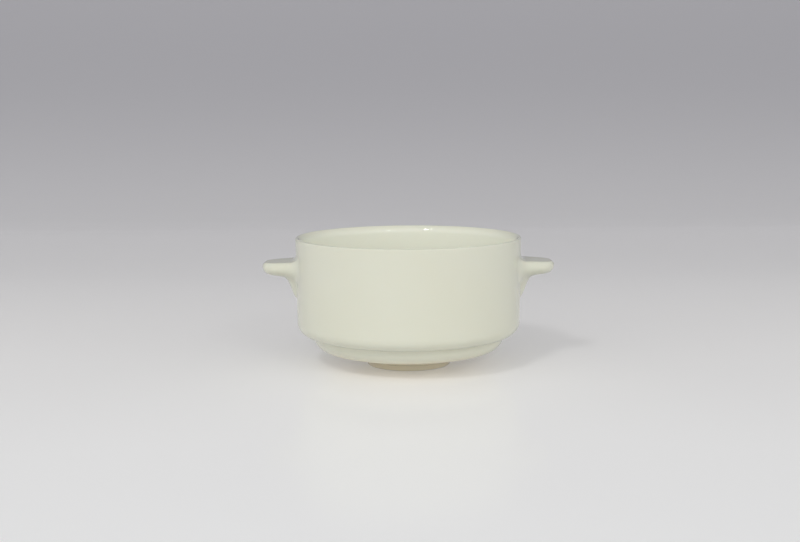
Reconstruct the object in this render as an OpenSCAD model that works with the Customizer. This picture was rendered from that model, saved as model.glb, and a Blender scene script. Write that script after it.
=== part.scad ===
// Bouillon cup: a low glazed porcelain soup cup with two lug handles, made to stack.
// Origin at the centre of the foot ring's resting plane, +Z up, +X through the lugs.
// The body, its foot ring and both lugs are cast and fired as one piece.

/* [Body] */
// Outer diameter of the wall, carried up to the lip
wall_d = 105; // [104:0.5:117]
// Height from the table to the top of the lip
cup_h = 60; // [54:0.5:70]
// Thickness of the wall
wall_t = 2.8; // [2.2:0.1:3.6]
// How far the wall leans in from the lip down to the shoulder
wall_lean = 0.5; // [0.2:0.1:1.2]
// Radius of the wall's lower outer corner
corner_r = 5.8; // [3:0.2:6.4]
// Radius of the soft curve from the inner wall into the floor
bowl_r = 24; // [20:1:30]
// Height of the inner floor above the table
floor_z = 7; // [6:0.25:9]

/* [Lip] */
// Angle between the wall's outer face and the bevel inside the lip
lip_open = 40; // [30:1:41]
// Radius of the lip, as a share of the wall's thickness
lip_share = 0.28; // [0.2:0.02:0.28]
// Radius of the turn from the bevel into the inner face, likewise
bevel_share = 2; // [0.5:0.25:2]

/* [Stacking stage] */
// Height of the shoulder above the table
shoulder_z = 14.7; // [13:0.1:18]
// Diameter of the stage that drops into the cup below
stage_d = 89.6; // [84:0.2:91]
// How far the stage leans in from the shoulder down to the knee
stage_lean = 1.3; // [0.5:0.1:2]
// Height at which the stage turns into the underside
knee_z = 8.6; // [7:0.1:9.5]
// Radius of that turn
knee_r = 6.5; // [3:0.5:6.5]
// Radius of the hollow between the shoulder and the stage
shoulder_fillet = 0.8; // [0.4:0.1:1.5]

/* [Foot ring] */
// Outer diameter of the foot ring
foot_d = 40; // [36:1:60]
// Width of the foot ring where it leaves the underside
foot_w = 3.4; // [2.6:0.2:5]
// How far the foot ring stands out below the underside
foot_h = 2.6; // [2:0.1:4]
// How far the foot ring's outer side leans in towards the table
foot_lean = 0.7; // [0:0.1:1]
// Height of the hollow inside the foot ring
recess_h = 2.2; // [1.6:0.1:3]
// Radius of the foot ring's edges
foot_edge_r = 0.6; // [0.3:0.1:0.8]

/* [Lug handles] */
// How far a lug stands out from the wall
lug_out = 15.7; // [11:0.1:20]
// Width of a lug, carried in to the wall
lug_w = 24.4; // [18:0.2:30]
// How much each side of a lug leans in from the wall to the end
lug_taper = 3; // [0:0.2:4]
// Length over which a lug's end rounds in, seen from above
lug_nose = 6.8; // [4:0.2:9]
// Depth of a lug's top face below the lip
lug_drop = 11.5; // [9:0.5:16]
// Rise of a lug's top face from its outer edge to the wall
lug_rise = 0.8; // [0:0.1:2]
// Thickness of a lug at its edge
lug_t = 4.3; // [3.4:0.1:6]
// Radius of a lug's upper edge
lug_edge_r = 2.1; // [1:0.1:2.5]
// How far in from the edge the underside curves down
lug_under_r = 6; // [3:0.5:8]
// Bulge of a lug's underside along its middle
lug_keel = 1.3; // [0:0.1:2]
// Further bulge of the underside towards the wall
lug_fall = 0.9; // [0:0.1:2]
// Height of the gusset below a lug
gusset_h = 9.3; // [6:0.1:13]
// Distance from the wall at which the gusset is half as high
gusset_out = 3.1; // [2:0.1:5]
// Width of the gusset
gusset_w = 12; // [8:0.5:16]
// Radius of the fillet above and below a lug at the wall
root_r = 3; // [1.2:0.1:4]
// Radius in which a lug widens into the wall, seen from above
flare_r = 5.5; // [2:0.5:7]

/* [Hidden] */
glaze_cream = "#e9e8d8";

wall_r = wall_d / 2;
inner_r = wall_r - wall_t;
stage_r = stage_d / 2;
foot_r = foot_d / 2;
recess_r = foot_r - foot_w;

draft = atan(wall_lean / (cup_h - shoulder_z));
lip_r = lip_share * wall_t;
lip_z = cup_h + lip_r * (cos((lip_open + draft) / 2) / sin((lip_open - draft) / 2) - 1);
lip_x = wall_r + (lip_z - cup_h) * tan(draft);
bevel_z = lip_z - (lip_x - inner_r) / tan(lip_open);

lug_z = cup_h - lug_drop - lug_t / 2;   // height of a lug's edge
nose_power = 2.6;   // how late a lug's end rounds in
side_power = 2.2;   // squareness of that end, where 2 is an ellipse
gusset_fall = 3.4;  // how steeply the gusset falls away from the wall
gusset_side = 2.2;  // how steeply it falls away from its middle

section_steps = 9;  // pieces in each rounded corner of the cup's section
lug_rings = 14;     // rings along a lug, drawn together at the wall and at the tip
lug_strips = 10;    // strips in each half of a ring's upper and lower side

function unit(v) = v / norm(v);

// The points of an arc that rounds a corner and is tangent to both of its legs.
function corner_arc(before, corner, after, steps) =
    let (
        point = [corner.x, corner.y],
        to_before = unit([before.x, before.y] - point),
        to_after = unit([after.x, after.y] - point),
        half_angle = acos(to_before * to_after) / 2,
        centre = point + unit(to_before + to_after) * corner[2] / sin(half_angle),
        first = point + to_before * corner[2] / tan(half_angle) - centre,
        last = point + to_after * corner[2] / tan(half_angle) - centre,
        sweep = 180 - 2 * half_angle
    )
    [for (i = [0:steps])
        let (a = sweep * i / steps)
        centre + (sin(sweep - a) * first + sin(a) * last) / sin(sweep)];

// An outline from [x, y, radius] corners, where a radius of 0 leaves the corner sharp.
function rounded(corners, steps) = [
    for (i = [0:len(corners) - 1])
        let (
            count = len(corners),
            before = corners[(i + count - 1) % count],
            after = corners[(i + 1) % count]
        )
        each corners[i][2] == 0
            ? [[corners[i].x, corners[i].y]]
            : corner_arc(before, corners[i], after, steps)
];

// Half of the cup's section, from the hollow inside the foot out, up the wall and down the inside.
function cup_section() = rounded([
    [0, recess_h, 0],
    [recess_r, recess_h, foot_edge_r],
    [recess_r + foot_lean, 0, foot_edge_r],
    [foot_r - foot_lean, 0, foot_edge_r],
    [foot_r, foot_h, foot_edge_r],
    [stage_r - stage_lean, knee_z, knee_r],
    [stage_r, shoulder_z, shoulder_fillet],
    [wall_r - wall_lean, shoulder_z, corner_r],
    [lip_x, lip_z, lip_r],
    [inner_r, bevel_z, bevel_share * wall_t],
    [inner_r - wall_lean, floor_z, bowl_r],
    [0, floor_z, 0],
], section_steps);

// Radius of the wall's outer face at a height.
function wall_at(z) = wall_r - (cup_h - z) * tan(draft);

// Height of a quarter circle of radius 1 at a depth in from its edge, and 1 past the radius.
function quarter_round(depth) = sqrt(1 - pow(1 - min(1, max(0, depth)), 2));

// Rise of a fillet at a gap from the wall. It meets the wall at 45 degrees and runs on inside it.
function hollow(radius, gap) = gap < radius ? radius / 2 * pow(1 - gap / radius, 2) : 0;

// Half of a lug's width at a gap from the wall: an even taper, a rounded end and a flare at the wall.
function half_width(gap) =
    let (nose = max(0, (gap - lug_out) / lug_nose + 1))
    (lug_w / 2 - lug_taper * gap / lug_out) * pow(1 - pow(nose, nose_power), 1 / side_power)
    + hollow(flare_r, gap);

// Height of a lug's upper side above its edge, at a gap from the wall and a depth in from the side.
function lug_above(gap, depth) =
    let (end = quarter_round((lug_out - gap) / lug_edge_r))
    quarter_round(depth / lug_edge_r)
    * (end * lug_t / 2 + lug_rise * (1 - gap / lug_out) + hollow(root_r, gap));

// Depth of its underside below its edge there, at a distance y from its middle.
function lug_below(gap, depth, y) =
    let (
        end = quarter_round((lug_out - gap) / lug_edge_r),
        belly = (lug_keel + lug_fall * (1 - gap / lug_out)) * quarter_round((lug_out - gap) / lug_nose),
        rib = gusset_h / (1 + pow(max(0, gap) / gusset_out, gusset_fall))
    )
    quarter_round(depth / lug_under_r)
    * (end * lug_t / 2 + belly + rib * exp(-pow(abs(y) / gusset_w * 2, gusset_side)) + hollow(root_r, gap));

// The point of a lug at a gap from the wall and a height.
function lug_point(gap, y, z) = [sqrt(pow(wall_at(z) + gap, 2) - y * y), y, z];

// A ring round a lug at a gap from the wall: its upper side from -Y to +Y, and its underside back.
function lug_ring(gap) =
    let (
        half = half_width(gap),
        sides = [for (i = [-lug_strips:lug_strips]) half * sign(i) * (1 - cos(180 * i / lug_strips)) / 2]
    )
    concat(
        [for (y = sides) lug_point(gap, y, lug_z + lug_above(gap, half - abs(y)))],
        [for (i = [2 * lug_strips - 1:-1:1])
            let (y = sides[i])
            lug_point(gap, y, lug_z - lug_below(gap, half - abs(y), y))]
    );

// The faces of a lug: a cap inside the wall, the bands between the rings and a fan at the tip.
function lug_faces(rings, count) = concat(
    [for (i = [0:count / 2 - 2]) [i, count - i - 1, i + 1]],
    [for (i = [1:count / 2 - 1]) [i, count - i, count - i - 1]],
    [for (k = [0:rings - 2], i = [0:count - 1], half = [0, 1])
        let (a = k * count + i, b = k * count + (i + 1) % count)
        half == 0 ? [a, b, a + count] : [b, b + count, a + count]],
    [for (i = [0:count - 1])
        [(rings - 1) * count + i, (rings - 1) * count + (i + 1) % count, rings * count]]
);

module lug() {
    gaps = [for (i = [1:lug_rings - 1]) lug_out / 2 * (1 - cos(180 * i / lug_rings))];
    rings = [for (gap = concat([-wall_t / 2], gaps)) lug_ring(gap)];
    tip = lug_point(lug_out, 0, lug_z);
    polyhedron(
        points = concat([for (ring = rings) each ring], [tip]),
        faces = lug_faces(lug_rings, len(rings[0]))
    );
}

module bouillon_cup() color(glaze_cream) {
    rotate([0, 0, 90]) rotate_extrude($fn = 180) polygon(cup_section());
    for (turn = [0, 180]) rotate([0, 0, turn]) lug();
}

bouillon_cup();
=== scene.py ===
"""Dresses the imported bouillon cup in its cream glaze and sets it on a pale, glossy studio floor."""

import math

import bpy
import numpy as np
from mathutils import Matrix, Vector


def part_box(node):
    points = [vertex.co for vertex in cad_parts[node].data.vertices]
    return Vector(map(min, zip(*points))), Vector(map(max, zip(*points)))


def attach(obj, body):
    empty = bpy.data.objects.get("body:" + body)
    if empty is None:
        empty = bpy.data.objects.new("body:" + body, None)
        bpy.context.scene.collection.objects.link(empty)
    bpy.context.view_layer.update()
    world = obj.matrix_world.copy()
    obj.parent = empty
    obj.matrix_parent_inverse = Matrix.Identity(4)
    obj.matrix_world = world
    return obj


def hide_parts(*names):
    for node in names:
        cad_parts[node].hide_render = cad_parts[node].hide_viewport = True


bl_info = {
    "name": "Bouillon Cup",
    "version": (1, 0, 0),
    "blender": (4, 5, 0),
    "location": "3D View > Sidebar > Cup",
    "description": "A stacking bouillon cup in glazed porcelain, with its studio",
    "category": "Object",
}

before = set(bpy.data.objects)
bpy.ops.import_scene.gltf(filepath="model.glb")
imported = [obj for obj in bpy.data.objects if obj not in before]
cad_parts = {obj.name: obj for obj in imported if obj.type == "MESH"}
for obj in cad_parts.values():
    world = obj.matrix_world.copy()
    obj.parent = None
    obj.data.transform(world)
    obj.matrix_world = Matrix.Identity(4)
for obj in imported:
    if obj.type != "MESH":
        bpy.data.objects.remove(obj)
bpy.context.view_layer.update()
CUP_LOW, CUP_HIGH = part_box("bouillon_cup")

# Form of the cup
LIP_OPEN = math.radians(40)  # angle between the wall's outer face and the bevel inside the lip
LIP_SHARE = 0.28  # radius of the lip, as a share of the wall's thickness
BEVEL_SHARE = 2.0  # radius of the turn from the bevel into the inner face, likewise
NOSE_POWER = 2.6  # how late a lug's end rounds in
SIDE_POWER = 2.2  # squareness of that end, where 2 is an ellipse
GUSSET_FALL = 3.4  # how steeply the gusset falls away from the wall
GUSSET_SIDE = 2.2  # how steeply it falls away from its middle
SUNK = 1e-5  # how far a lug's skirt lies under the wall's face, so that no edge shows
MERGE = 1e-7  # points of an outline closer than this are one
CREASE = math.radians(50)  # angle between two faces from which their edge is drawn sharp

# Glaze and bare body
POOL_SPACING = 38  # mm from one thicker patch of glaze to the next
RIPPLE_SPACING = 7  # mm
GRAIN_SPACING = 0.3  # mm, where real grains are near 0.05 mm: drawn coarser so that they show
SMOOTH = {"interpolation_type": "SMOOTHSTEP"}
BOWL_MIDDLE = (0.0, 0.0, 0.035)  # a face's distance from here, along its normal, is below 0 if it faces here
INSIDE_LIGHT_DEPTH = {"From Min": -0.022, "From Max": -0.045}  # where the painted light inside the bowl starts and is full
UNDERSIDE_LIGHT_HEIGHT = {"From Min": 0.0105, "From Max": 0.0055}  # height at which the underside's painted light starts and is full
UNDERSIDE_LIGHT_SLOPE = {"From Min": 0.5, "From Max": 0.1}  # Z of the normal, likewise: the bowl's floor keeps its colour

# Light, backdrop and camera
PHOTO_WIDTH = 800  # pixels
BOARD_CORNERS = ((-1.2, 0, 0), (1.1, 0, 0.5), (1.1, 1.3, 0))  # y, z and radius of its side view, in metres
BOARD_HALF_WIDTH = 1.6
BOARD_SPAN = (-0.3, 1.7)  # where the board's five colours start and end, in metres along it
BOARD_STOPS = (0.03, 0.17, 0.3, 0.51, 0.72)  # their places between these
BOARD_GLOW = 0.16  # light that only the camera and mirror images see on the board, where white is 1
LAMP_DISTANCE = 2.0  # from the origin, in metres
LAMP_TARGET = (0, 0, 0.03)
KEY_LAMP = (-26, 42.5, 0.26)  # degrees to the right of the viewer, degrees up, and width in metres
FILL_LAMP = (25, 31, 0.16)
TENT_STOPS = (0.0, 0.12, 0.28, 0.5, 0.75, 1.0)  # Z of the directions at which the tent's light is set
TENT_FRONT = (0.1, 0.67, 0.55, 0.47, 0.4, 0.06)  # share of its brightest light there, from behind the camera
TENT_SIDES = (0.0, 0.1, 1.0, 0.06, 0.07, 0.08)  # and from the sides and above


def length(name, description, default):
    """A property for a size in metres."""
    return bpy.props.FloatProperty(
        name=name,
        description=description,
        default=default,
        min=0.0,
        unit="LENGTH",
        subtype="DISTANCE",
        precision=4,
    )


def colour(name, description, code):
    """A property for a colour, given as an sRGB hex code and kept as linear values."""
    return bpy.props.FloatVectorProperty(
        name=name, description=description, default=linear(code), size=3, min=0.0, max=1.0, subtype="COLOR"
    )


def linear(code):
    """An sRGB hex code such as #e9e8d8 as linear red, green and blue."""
    values = np.array([int(code[i : i + 2], 16) for i in (1, 3, 5)]) / 255
    return tuple(np.where(values <= 0.04045, values / 12.92, ((values + 0.055) / 1.055) ** 2.4).tolist())


def watts(name, description, default):
    """A property for a lamp's power."""
    return bpy.props.FloatProperty(name=name, description=description, default=default, min=0.0, unit="POWER")


def angle(name, description, degrees):
    """A property for an angle, given in degrees."""
    value = math.radians(degrees)
    return bpy.props.FloatProperty(
        name=name, description=description, default=value, unit="ROTATION", subtype="ANGLE"
    )


class CupSizes(bpy.types.PropertyGroup):
    """Sizes of the turned body."""

    wall_diameter: length("Wall diameter", "Outer diameter of the wall, carried up to the lip", 0.105)
    wall_draft: length("Wall draft", "How far the wall leans in from the lip down to the shoulder", 0.0005)
    height: length("Height", "Height from the table to the top of the lip", CUP_HIGH[2])
    wall_thickness: length("Wall", "Thickness of the wall", 0.0028)
    corner_radius: length("Corner", "Radius of the wall's lower outer corner", 0.0058)
    bowl_radius: length("Bowl", "Radius of the curve from the inner wall into the floor", 0.024)
    floor_height: length("Floor", "Height of the inner floor above the table", 0.007)
    shoulder_height: length("Shoulder", "Height of the stacking shoulder", 0.0147)
    shoulder_fillet: length("Shoulder fillet", "Radius of the hollow under the shoulder", 0.0008)
    stage_diameter: length("Stage", "Diameter of the stage below the shoulder", 0.0896)
    knee_height: length("Knee", "Height at which the stage turns into the underside", 0.0086)
    knee_radius: length("Knee radius", "Radius of that turn", 0.0065)
    knee_draft: length("Knee draft", "How far the stage leans in down to the knee", 0.0013)
    foot_diameter: length("Foot", "Outer diameter of the foot ring", 0.040)
    foot_width: length("Foot width", "Width of the foot ring where it leaves the underside", 0.0034)
    foot_height: length("Foot height", "Height of the foot ring below the underside", 0.0026)
    foot_lean: length("Foot lean", "How far the foot ring's sides lean towards each other", 0.0007)
    foot_edge: length("Foot edge", "Radius of the foot ring's edges", 0.0006)
    recess_height: length("Recess", "Height of the hollow inside the foot ring", 0.0022)


class LugSizes(bpy.types.PropertyGroup):
    """Sizes of the two lug handles."""

    span: length("Span", "Length over both lugs", CUP_HIGH[0] - CUP_LOW[0])
    width: length("Width", "Width of a lug, carried in to the wall", 0.0244)
    taper: length("Taper", "How much each side leans in from the wall to the end", 0.003)
    nose: length("Nose", "Length over which a lug's end rounds in, seen from above", 0.0068)
    drop: length("Drop", "Depth of a lug's top face below the lip", 0.0115)
    rise: length("Rise", "Rise of a lug's top face towards the wall", 0.0008)
    thickness: length("Thickness", "Thickness of a lug at its edge", 0.0043)
    edge: length("Edge", "Radius of a lug's upper edge", 0.0021)
    under: length("Under", "How far in from the edge the underside curves down", 0.006)
    keel: length("Keel", "Bulge of a lug's underside along its middle", 0.0013)
    fall: length("Fall", "Further bulge of the underside towards the wall", 0.0009)
    gusset_height: length("Gusset height", "Height of the gusset below a lug", 0.0093)
    gusset_out: length("Gusset reach", "Distance from the wall at which the gusset is half as high", 0.0031)
    gusset_width: length("Gusset width", "Width of the gusset", 0.012)
    root: length("Root", "Radius of the fillet above and below a lug at the wall", 0.003)
    flare: length("Flare", "Radius in which a lug widens into the wall, seen from above", 0.0055)


class CupColours(bpy.types.PropertyGroup):
    """Colours of the fired cup, with painted light inside the bowl and on the underside."""

    glaze: colour("Glaze", "Clear glaze over the cream body", "#dedfd0")
    glaze_deep: colour("Deep glaze", "The same where the glaze lies thicker", "#dcdcc9")
    # Painted light: paler than the glaze, for light that reaches the inside of the bowl through the wall.
    inside_painted_light: colour("Inside glaze", "The same inside the bowl, lit through the wall", "#e9eadc")
    # Painted light: paler and warmer than the glaze, for warm light bounced into the shade under the cup.
    underside_painted_light: colour("Low glaze", "The same on the underside, where it gathers as it drains", "#f4ead0")
    biscuit: colour("Biscuit", "Bare fired body on the foot ring", "#ded8c8")


class StudioSettings(bpy.types.PropertyGroup):
    """The floor, the lamps and the camera."""

    # Painted shade: the board's colours darken from the front floor up to the backdrop, for light that falls
    # off away from the lamps.
    floor_front: colour("Front floor", "Floor in front of the cup", "#f2f2f2")
    floor_middle: colour("Middle floor", "Floor just behind the cup", "#efeeed")
    floor_back: colour("Back floor", "Floor further back", "#dbdada")
    sweep: colour("Sweep", "Where the floor starts to curve up", "#c4c3c5")
    backdrop: colour("Backdrop", "Upright part of the backdrop", "#a4a3a7")
    surround: colour("Surround", "What shows past the board, and in the glaze", "#d6d6d8")
    key_power: watts("Key", "Power of the small lamp at the left", 6.3)
    fill_power: watts("Fill", "Power of the small lamp at the right", 2.0)
    tent_light: bpy.props.FloatProperty(
        name="Tent", description="Brightest light of the tent", default=2.74, min=0.0
    )
    camera_distance: length("Camera distance", "From the cup's axis, along the floor", 0.5727)
    camera_height: length("Camera height", "Above the floor", 0.1216)
    camera_shift: bpy.props.FloatProperty(
        name="Camera shift", description="Of the camera, to the viewer's right", default=-0.0039, unit="LENGTH"
    )
    camera_pitch: angle("Camera pitch", "How far the camera looks down", 7.75)
    camera_roll: angle("Camera roll", "How far the camera is turned about its view", -0.35)
    focal_pixels: bpy.props.FloatProperty(
        name="Focal length", description="In pixels of the photograph", default=1235.0
    )


# Surfaces


def rounded_outline(corners, steps=14, longest=0.0013):
    """An outline from (x, y, radius) corners. The arc in a corner is tangent to both legs: its centre lies on
    the corner's bisector, radius / sin(half angle) away. Legs are then cut into equal pieces no longer than
    longest."""
    corners = np.array(corners)
    points = []
    for before, corner, after in zip(np.roll(corners, 1, axis=0), corners, np.roll(corners, -1, axis=0)):
        if corner[2] == 0:
            points.append(corner[None, :2])
            continue
        u, v = (leg / np.linalg.norm(leg) for leg in (before[:2] - corner[:2], after[:2] - corner[:2]))
        half = math.acos(float(u @ v)) / 2
        bisector = (u + v) / np.linalg.norm(u + v)
        centre = corner[:2] + bisector * corner[2] / math.sin(half)
        first, last = (corner[:2] + leg * corner[2] / math.tan(half) - centre for leg in (u, v))
        sweep = math.pi - 2 * half
        a = np.linspace(0, sweep, steps + 1)[:, None]
        points.append(centre + (np.sin(sweep - a) * first + np.sin(a) * last) / math.sin(sweep))
    points = np.concatenate(points)
    along = np.r_[0, np.cumsum(np.linalg.norm(np.diff(points, axis=0), axis=1))]
    apart = np.r_[True, np.diff(along) > MERGE]
    points, along = points[apart], along[apart]
    pieces = np.ceil(np.diff(along) / longest).astype(int)
    cuts = np.concatenate([np.linspace(a, b, n, endpoint=False) for a, b, n in zip(along, along[1:], pieces)])
    cuts = np.r_[cuts, along[-1]]
    return np.c_[np.interp(cuts, along, points[:, 0]), np.interp(cuts, along, points[:, 1])]


def skin(rings, first_pole, last_pole):
    """Vertices and triangles of a closed surface through rings of points, (ring, point, xyz), with a pole at
    each end. Each quad between two rings is cut in two, and the last point of a ring joins the first."""
    count, around = rings.shape[:2]
    vertices = np.concatenate([rings.reshape(-1, 3), [first_pole, last_pole]])
    k, i = np.meshgrid(np.arange(count - 1), np.arange(around), indexing="ij")
    a, b = k * around + i, k * around + (i + 1) % around
    sides = np.stack([a, b, b + around, a, b + around, a + around], axis=-1).reshape(-1, 3)
    i = np.arange(around)
    first = np.stack([np.full(around, count * around), (i + 1) % around, i], axis=-1)
    end = (count - 1) * around
    last = np.stack([np.full(around, count * around + 1), end + i, end + (i + 1) % around], axis=-1)
    return vertices, np.concatenate([sides, first, last])


def turned_body(sizes, segments=256):
    """The cup's section turned about Z: (r cos a, r sin a, z) for each outline point (r, z) and angle a. The
    section runs from under the foot out, up the wall, over the lip and down the inside to the axis. The lip is
    an arc between the wall's outer face and a bevel down to the inner face. Its top is at the cup's height."""
    wall, stage = sizes.wall_diameter / 2, sizes.stage_diameter / 2
    foot, inner = sizes.foot_diameter / 2, sizes.wall_diameter / 2 - sizes.wall_thickness
    recess, lip = foot - sizes.foot_width, sizes.wall_thickness * LIP_SHARE
    lean = math.atan(sizes.wall_draft / (sizes.height - sizes.shoulder_height))
    peak = sizes.height - lip + lip * math.cos((LIP_OPEN + lean) / 2) / math.sin((LIP_OPEN - lean) / 2)
    corner = wall + (peak - sizes.height) * math.tan(lean)
    bevel = peak - (corner - inner) / math.tan(LIP_OPEN)
    outline = rounded_outline([
        (0, sizes.recess_height, 0),
        (recess, sizes.recess_height, sizes.foot_edge),
        (recess + sizes.foot_lean, 0, sizes.foot_edge),
        (foot - sizes.foot_lean, 0, sizes.foot_edge),
        (foot, sizes.foot_height, sizes.foot_edge),
        (stage - sizes.knee_draft, sizes.knee_height, sizes.knee_radius),
        (stage, sizes.shoulder_height, sizes.shoulder_fillet),
        (wall - sizes.wall_draft, sizes.shoulder_height, sizes.corner_radius),
        (corner, peak, lip),
        (inner, bevel, sizes.wall_thickness * BEVEL_SHARE),
        (inner - sizes.wall_draft, sizes.floor_height, sizes.bowl_radius),
        (0, sizes.floor_height, 0),
    ])
    a = np.linspace(0, 2 * math.pi, segments, endpoint=False)
    r, z = outline[1:-1, 0, None], np.broadcast_to(outline[1:-1, 1, None], (len(outline) - 2, segments))
    rings = np.stack([r * np.cos(a), r * np.sin(a), z], axis=-1)
    return skin(rings, (0, 0, outline[0, 1]), (0, 0, outline[-1, 1]))


def quarter_round(depth):
    """Height of a rounded edge: sqrt(1 - (1 - d)^2) at a depth d in from the edge, and 1 past d = 1."""
    return np.sqrt(1 - (1 - np.clip(depth, 0, 1)) ** 2)


def hollow(radius, gap):
    """Rise of a fillet at a gap from the wall: r - sqrt(r^2 - (r - gap)^2), and 0 past the radius."""
    return radius * (1 - np.sqrt(1 - np.clip(1 - gap / radius, 0, 1) ** 2))


def lug(sizes, body, side, steps=68, across=42):
    """One lug, as rings at a gap s from the wall. With L its length and q the rounded edge, half a ring's width
    is (width/2 - taper s/L) (1 - n^NOSE_POWER)^(1/SIDE_POWER) + flare, where n runs from 0 to 1 over the nose.
    At a depth d in from the side it lies q(d/edge) (q((L-s)/edge) thickness/2 + rise (1-s/L) + root) above its
    edge, and q(d/under) (q((L-s)/edge) thickness/2 + belly + rib + root) below it, where belly is
    (keel + fall (1-s/L)) q((L-s)/nose) and rib is height / (1 + (s/out)^GUSSET_FALL)
    exp(-|2y/width|^GUSSET_SIDE). Flare and root are fillets at the wall."""
    wall, slope = body.wall_diameter / 2, body.wall_draft / (body.height - body.shoulder_height)
    middle = body.height - sizes.drop - sizes.thickness / 2
    reach = sizes.span / 2 - wall + slope * (body.height - middle)
    s = (reach * (1 - np.cos(np.linspace(0, math.pi, steps + 1)[:-1])) / 2)[:, None]
    left = 1 - s / reach
    nose = np.clip((s - reach) / sizes.nose + 1, 0, 1)
    half = (sizes.width / 2 - sizes.taper * (1 - left)) * (1 - nose**NOSE_POWER) ** (1 / SIDE_POWER)
    half = half + hollow(sizes.flare, s)
    share = (1 - np.cos(np.linspace(0, math.pi, across + 1))) / 2
    y = np.concatenate([-share[:0:-1], share]) * half
    depth = half - np.abs(y)
    end = quarter_round((reach - s) / sizes.edge) * sizes.thickness / 2
    belly = (sizes.keel + sizes.fall * left) * quarter_round((reach - s) / sizes.nose)
    rib = sizes.gusset_height / (1 + (s / sizes.gusset_out) ** GUSSET_FALL)
    rib = rib * np.exp(-((np.abs(y) / sizes.gusset_width * 2) ** GUSSET_SIDE))
    root = hollow(sizes.root, s)
    upper = middle + quarter_round(depth / sizes.edge) * (end + sizes.rise * left + root)
    lower = middle - quarter_round(depth / sizes.under) * (end + belly + rib + root)
    y = np.concatenate([y, y[:, -2:0:-1]], axis=1)
    z = np.concatenate([upper, lower[:, -2:0:-1]], axis=1)
    s[0] = -SUNK
    x = np.sqrt((wall - slope * (body.height - z) + s) ** 2 - y**2)
    rings = np.stack([x, y, z], axis=-1)
    deep = rings[:1] * np.array([1 - body.wall_thickness / 2 / wall, 1, 1])
    rings = np.concatenate([deep, rings])[::-1]
    tip, heart = (sizes.span / 2, 0, middle), (float(deep[0, :, 0].max()), 0, middle)
    vertices, triangles = skin(rings, tip, heart)
    return vertices * np.array([side, side, 1]), triangles


def build_mesh(name, parts):
    """One mesh object from (vertices, triangles) pairs, shaded smooth."""
    starts = np.cumsum([0] + [len(vertices) for vertices, _ in parts])
    vertices = np.concatenate([vertices for vertices, _ in parts])
    triangles = np.concatenate([triangles + start for (_, triangles), start in zip(parts, starts)])
    mesh = bpy.data.meshes.new(name)
    mesh.from_pydata(vertices.tolist(), [], triangles.tolist())
    mesh.validate()
    mesh.polygons.foreach_set("use_smooth", np.ones(len(mesh.polygons), dtype=bool))
    mesh.set_sharp_from_angle(angle=CREASE)
    obj = bpy.data.objects.new(name, mesh)
    bpy.context.scene.collection.objects.link(obj)
    return obj


# Materials


def add_node(tree, kind, settings=None, inputs=None, links=None):
    """Adds a node, sets its attributes and socket values, and links (node, output) pairs to its inputs."""
    node = tree.nodes.new(kind)
    for name, value in (settings or {}).items():
        setattr(node, name, value)
    for name, value in (inputs or {}).items():
        node.inputs[name].default_value = value
    for name, (source, output) in (links or {}).items():
        tree.links.new(source.outputs[output], node.inputs[name])
    return node


def new_material(name):
    """An empty node material and its node tree."""
    material = bpy.data.materials.new(name)
    material.use_nodes = True
    material.node_tree.nodes.clear()
    return material, material.node_tree


def per_mm(spacing):
    """The scale of a noise pattern whose features are spacing millimetres apart."""
    return 1000 / spacing


def backdrop_rays(tree):
    """The nodes that give 1 for what is seen directly, mirrored or through something clear, and 0 for light."""
    ray = add_node(tree, "ShaderNodeLightPath")
    mirrored = add_node(
        tree,
        "ShaderNodeMath",
        {"operation": "MAXIMUM"},
        links={0: (ray, "Is Glossy Ray"), 1: (ray, "Is Transmission Ray")},
    )
    return add_node(
        tree,
        "ShaderNodeMath",
        {"operation": "MAXIMUM"},
        links={0: (ray, "Is Camera Ray"), 1: (mirrored, "Value")},
    )


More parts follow.
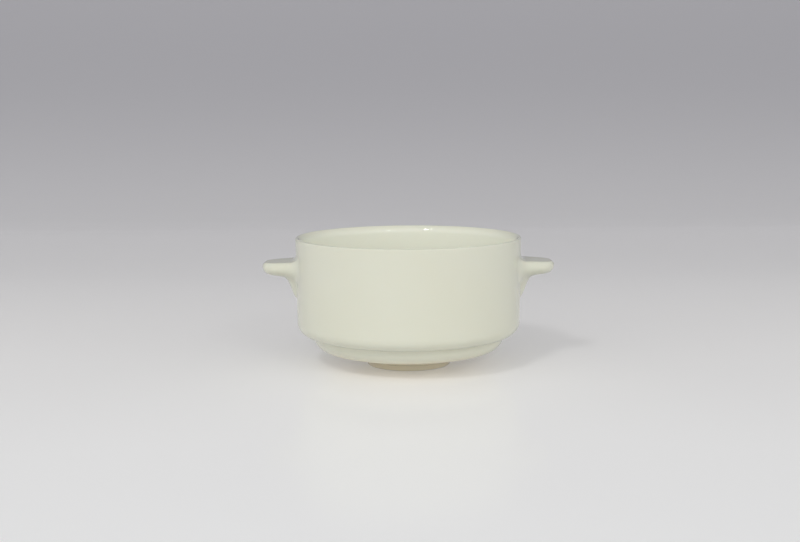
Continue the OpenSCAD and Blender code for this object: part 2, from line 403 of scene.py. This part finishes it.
def glazed_porcelain(colours):
    """Vitrified porcelain, cast and dipped in clear glaze. The cream body shows through a glassy skin that
    ripples a little. It is painted paler inside the bowl, as painted light for light through the wall, and
    painted paler and warmer on the underside, as painted light for warm light bounced into the shade there."""
    material, tree = new_material("glazed porcelain")
    place = add_node(tree, "ShaderNodeTexCoord")
    pooling = add_node(
        tree,
        "ShaderNodeTexNoise",
        inputs={"Scale": per_mm(POOL_SPACING), "Detail": 2.0},
        links={"Vector": (place, "Object")},
    )
    tint = add_node(
        tree,
        "ShaderNodeMix",
        {"data_type": "RGBA"},
        {6: (*colours.glaze, 1), 7: (*colours.glaze_deep, 1)},
        {0: (pooling, "Fac")},
    )
    # Painted light: faces that look into the bowl are coloured paler.
    away = add_node(
        tree, "ShaderNodeVectorMath", {"operation": "SUBTRACT"}, {1: BOWL_MIDDLE}, {0: (place, "Object")}
    )
    facing = add_node(
        tree,
        "ShaderNodeVectorMath",
        {"operation": "DOT_PRODUCT"},
        links={0: (away, "Vector"), 1: (place, "Normal")},
    )
    inside = add_node(tree, "ShaderNodeMapRange", SMOOTH, INSIDE_LIGHT_DEPTH, {"Value": (facing, "Value")})
    shade = add_node(
        tree,
        "ShaderNodeMix",
        {"data_type": "RGBA"},
        {7: (*colours.inside_painted_light, 1)},
        {0: (inside, "Result"), 6: (tint, 2)},
    )
    axes = add_node(tree, "ShaderNodeSeparateXYZ", links={"Vector": (place, "Object")})
    lean = add_node(tree, "ShaderNodeSeparateXYZ", links={"Vector": (place, "Normal")})
    # Painted light: low down and facing down, the glaze is coloured paler and warmer.
    low = add_node(tree, "ShaderNodeMapRange", SMOOTH, UNDERSIDE_LIGHT_HEIGHT, {"Value": (axes, "Z")})
    down = add_node(tree, "ShaderNodeMapRange", SMOOTH, UNDERSIDE_LIGHT_SLOPE, {"Value": (lean, "Z")})
    under = add_node(
        tree, "ShaderNodeMath", {"operation": "MULTIPLY"}, links={0: (low, "Result"), 1: (down, "Result")}
    )
    body = add_node(
        tree,
        "ShaderNodeMix",
        {"data_type": "RGBA"},
        {7: (*colours.underside_painted_light, 1)},
        {0: (under, "Value"), 6: (shade, 2)},
    )
    ripple = add_node(
        tree,
        "ShaderNodeTexNoise",
        inputs={"Scale": per_mm(RIPPLE_SPACING), "Detail": 1.0},
        links={"Vector": (place, "Object")},
    )
    relief = add_node(
        tree,
        "ShaderNodeBump",
        inputs={"Strength": 0.35, "Distance": 0.00004},
        links={"Height": (ripple, "Fac")},
    )
    shader = add_node(
        tree,
        "ShaderNodeBsdfPrincipled",
        inputs={
            "Roughness": 0.32,
            "IOR": 1.5,
            "Specular IOR Level": 0.0,
            "Subsurface Weight": 0.12,
            "Subsurface Scale": 0.002,
            "Subsurface Radius": (1.0, 0.8, 0.6),
            "Coat Weight": 1.0,
            "Coat Roughness": 0.02,
            "Coat IOR": 1.52,
        },
        links={"Base Color": (body, 2), "Normal": (relief, "Normal"), "Coat Normal": (relief, "Normal")},
    )
    add_node(tree, "ShaderNodeOutputMaterial", links={"Surface": (shader, "BSDF")})
    return material


def biscuit_porcelain(colours):
    """Bare fired porcelain, wiped clean of glaze so that it doesn't stick in the kiln: matt and grainy."""
    material, tree = new_material("biscuit porcelain")
    place = add_node(tree, "ShaderNodeTexCoord")
    grain = add_node(
        tree,
        "ShaderNodeTexNoise",
        inputs={"Scale": per_mm(GRAIN_SPACING), "Detail": 3.0},
        links={"Vector": (place, "Object")},
    )
    relief = add_node(
        tree,
        "ShaderNodeBump",
        inputs={"Strength": 0.5, "Distance": 0.00005},
        links={"Height": (grain, "Fac")},
    )
    shader = add_node(
        tree,
        "ShaderNodeBsdfPrincipled",
        inputs={"Base Color": (*colours.biscuit, 1), "Roughness": 0.85},
        links={"Normal": (relief, "Normal")},
    )
    add_node(tree, "ShaderNodeOutputMaterial", links={"Surface": (shader, "BSDF")})
    return material


def glossy_board(studio):
    """A white acrylic board swept up behind the cup: smooth, faintly mirroring, and painted darker towards its
    top, as painted shade for the light falling off there.
    """
    material, tree = new_material("glossy board")
    place = add_node(tree, "ShaderNodeTexCoord")
    axes = add_node(tree, "ShaderNodeSeparateXYZ", links={"Vector": (place, "Object")})
    # Y + 1.5 Z runs along the floor and then faster up the upright part.
    height = add_node(
        tree, "ShaderNodeMath", {"operation": "MULTIPLY_ADD"}, {1: 1.5}, {0: (axes, "Z"), 2: (axes, "Y")}
    )
    along = add_node(
        tree,
        "ShaderNodeMapRange",
        {"interpolation_type": "LINEAR"},
        {"From Min": BOARD_SPAN[0], "From Max": BOARD_SPAN[1]},
        {"Value": (height, "Value")},
    )
    # Painted shade: the ramp darkens the board along it.
    ramp = add_node(tree, "ShaderNodeValToRGB", links={"Fac": (along, "Result")})
    shades = (studio.floor_front, studio.floor_middle, studio.floor_back, studio.sweep, studio.backdrop)
    ramp.color_ramp.interpolation = "CARDINAL"
    stops = ramp.color_ramp.elements
    while len(stops) < len(shades):
        stops.new(0.5)
    for stop, position, shade in zip(stops, BOARD_STOPS, shades):
        stop.position, stop.color = position, (*shade, 1)
    shader = add_node(
        tree,
        "ShaderNodeBsdfPrincipled",
        inputs={"Roughness": 0.15, "IOR": 1.45, "Specular IOR Level": 0.12},
        links={"Base Color": (ramp, "Color")},
    )
    # The pale background comes from a little light on the board that doesn't fall on the cup.
    seen = backdrop_rays(tree)
    power = add_node(tree, "ShaderNodeMath", {"operation": "MULTIPLY"}, {1: BOARD_GLOW}, {0: (seen, "Value")})
    glow = add_node(tree, "ShaderNodeEmission", links={"Color": (ramp, "Color"), "Strength": (power, "Value")})
    both = add_node(tree, "ShaderNodeAddShader", links={0: (shader, "BSDF"), 1: (glow, "Emission")})
    add_node(tree, "ShaderNodeOutputMaterial", links={"Surface": (both, "Shader")})
    return material


# Studio


def light_tent(strength, surround):
    """A world that lights like a tent of white cloth: two ramps over the height of a direction, one for the
    light from behind the camera and one for the rest, mixed by how far the direction points to the camera's
    side. The camera and mirror images see a plain pale surround in its place."""
    world = bpy.data.worlds.new("light tent")
    world.use_nodes = True
    tree = world.node_tree
    tree.nodes.clear()
    place = add_node(tree, "ShaderNodeTexCoord")
    axes = add_node(tree, "ShaderNodeSeparateXYZ", links={"Vector": (place, "Generated")})
    front = add_node(
        tree, "ShaderNodeMath", {"operation": "MULTIPLY", "use_clamp": True}, {1: -1.0}, {0: (axes, "Y")}
    )
    ramps = []
    for shares in (TENT_SIDES, TENT_FRONT):
        ramp = add_node(tree, "ShaderNodeValToRGB", links={"Fac": (axes, "Z")})
        stops = ramp.color_ramp.elements
        while len(stops) < len(shares):
            stops.new(0.5)
        for stop, position, share in zip(stops, TENT_STOPS, shares):
            stop.position, stop.color = position, (share, share, share, 1)
        ramps.append(ramp)
    light = add_node(
        tree,
        "ShaderNodeMix",
        {"data_type": "RGBA"},
        links={0: (front, "Value"), 6: (ramps[0], "Color"), 7: (ramps[1], "Color")},
    )
    cloth = add_node(tree, "ShaderNodeBackground", inputs={"Strength": strength}, links={"Color": (light, 2)})
    plain = add_node(tree, "ShaderNodeBackground", inputs={"Color": (*surround, 1)})
    seen = backdrop_rays(tree)
    both = add_node(
        tree,
        "ShaderNodeMixShader",
        links={0: (seen, "Value"), 1: (cloth, "Background"), 2: (plain, "Background")},
    )
    add_node(tree, "ShaderNodeOutputWorld", links={"Surface": (both, "Shader")})
    return world


def square_lamp(name, azimuth, elevation, width, power):
    """A square white area lamp, turned to the cup, by degrees to the right of the viewer and degrees above the
    floor: at distance d it stands at (d cos e sin a, -d cos e cos a, d sin e)."""
    a, e = math.radians(azimuth), math.radians(elevation)
    place = LAMP_DISTANCE * Vector((math.cos(e) * math.sin(a), -math.cos(e) * math.cos(a), math.sin(e)))
    lamp = bpy.data.lights.new(name, "AREA")
    lamp.shape = "SQUARE"
    lamp.size = width
    lamp.energy = power
    obj = bpy.data.objects.new(name, lamp)
    direction = Vector(LAMP_TARGET) - place
    obj.matrix_world = Matrix.Translation(place) @ direction.to_track_quat("-Z", "Y").to_matrix().to_4x4()
    bpy.context.scene.collection.objects.link(obj)


# Operators


class CUP_OT_make_cup(bpy.types.Operator):
    """Make the cup, body and lugs in one glazed piece"""

    bl_idname = "cup.make_cup"
    bl_label = "Bouillon cup"

    def execute(self, context):
        scene = context.scene
        sizes, lugs = scene.cup_sizes, scene.lug_sizes
        cup = build_mesh("cup", [turned_body(sizes), lug(lugs, sizes, 1), lug(lugs, sizes, -1)])
        cup.data.materials.append(glazed_porcelain(scene.cup_colours))
        cup.data.materials.append(biscuit_porcelain(scene.cup_colours))
        centres = np.empty(len(cup.data.polygons) * 3)
        cup.data.polygons.foreach_get("center", centres)
        bare = centres.reshape(-1, 3)[:, 2] < sizes.foot_edge / 2
        cup.data.polygons.foreach_set("material_index", bare.astype(np.int32))
        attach(cup, "root")
        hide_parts("bouillon_cup")
        return {"FINISHED"}


class CUP_OT_make_studio(bpy.types.Operator):
    """Set the floor, the lamps and the camera"""

    bl_idname = "cup.make_studio"
    bl_label = "Studio"

    def execute(self, context):
        scene = context.scene
        studio = scene.cup_studio
        outline = rounded_outline(BOARD_CORNERS, steps=24, longest=0.2)
        n = len(outline)
        sides = (-BOARD_HALF_WIDTH, BOARD_HALF_WIDTH)
        vertices = np.concatenate([np.c_[np.full(n, x), outline] for x in sides])
        i = np.arange(n - 1)
        quads = np.stack([i, n + i, n + i + 1, i + 1], axis=-1)
        mesh = bpy.data.meshes.new("board")
        mesh.from_pydata(vertices.tolist(), [], quads.tolist())
        mesh.polygons.foreach_set("use_smooth", np.ones(len(quads), dtype=bool))
        board = bpy.data.objects.new("board", mesh)
        board.data.materials.append(glossy_board(studio))
        scene.collection.objects.link(board)

        square_lamp("key lamp", *KEY_LAMP, studio.key_power)
        square_lamp("fill lamp", *FILL_LAMP, studio.fill_power)
        scene.world = light_tent(studio.tent_light, studio.surround)

        camera = bpy.data.cameras.new("camera")
        camera.sensor_width = 36.0
        camera.lens = studio.focal_pixels / PHOTO_WIDTH * camera.sensor_width
        camera.clip_start = 0.01
        obj = bpy.data.objects.new("camera", camera)
        tilt = Matrix.Rotation(math.pi / 2 - studio.camera_pitch, 4, "X")
        turn = tilt @ Matrix.Rotation(studio.camera_roll, 4, "Z")
        spot = (studio.camera_shift, -studio.camera_distance, studio.camera_height)
        obj.matrix_world = Matrix.Translation(spot) @ turn
        scene.collection.objects.link(obj)
        scene.camera = obj
        scene.view_settings.view_transform = "Standard"
        return {"FINISHED"}


class CUP_PT_panel(bpy.types.Panel):
    """Lists the cup's sizes, colours and pieces"""

    bl_idname = "CUP_PT_panel"
    bl_label = "Bouillon Cup"
    bl_space_type = "VIEW_3D"
    bl_region_type = "UI"
    bl_category = "Cup"

    def draw(self, context):
        for pointer in GROUPS:
            group = getattr(context.scene, pointer)
            box = self.layout.box()
            for name in group.__annotations__:
                box.prop(group, name)
        for operator in OPERATORS:
            self.layout.operator(operator.bl_idname)


OPERATORS = (CUP_OT_make_cup, CUP_OT_make_studio)
GROUPS = {"cup_sizes": CupSizes, "lug_sizes": LugSizes, "cup_colours": CupColours, "cup_studio": StudioSettings}


def register():
    """Registers the classes and hangs the property groups on the scene."""
    for cls in (*GROUPS.values(), *OPERATORS, CUP_PT_panel):
        bpy.utils.register_class(cls)
    for name, group in GROUPS.items():
        setattr(bpy.types.Scene, name, bpy.props.PointerProperty(type=group))


def unregister():
    """Takes them away again."""
    for name in GROUPS:
        delattr(bpy.types.Scene, name)
    for cls in (CUP_PT_panel, *OPERATORS[::-1], *list(GROUPS.values())[::-1]):
        bpy.utils.unregister_class(cls)


def main():
    """Makes every piece."""
    register()
    bpy.ops.cup.make_cup()
    bpy.ops.cup.make_studio()


if __name__ == "__main__":
    main()
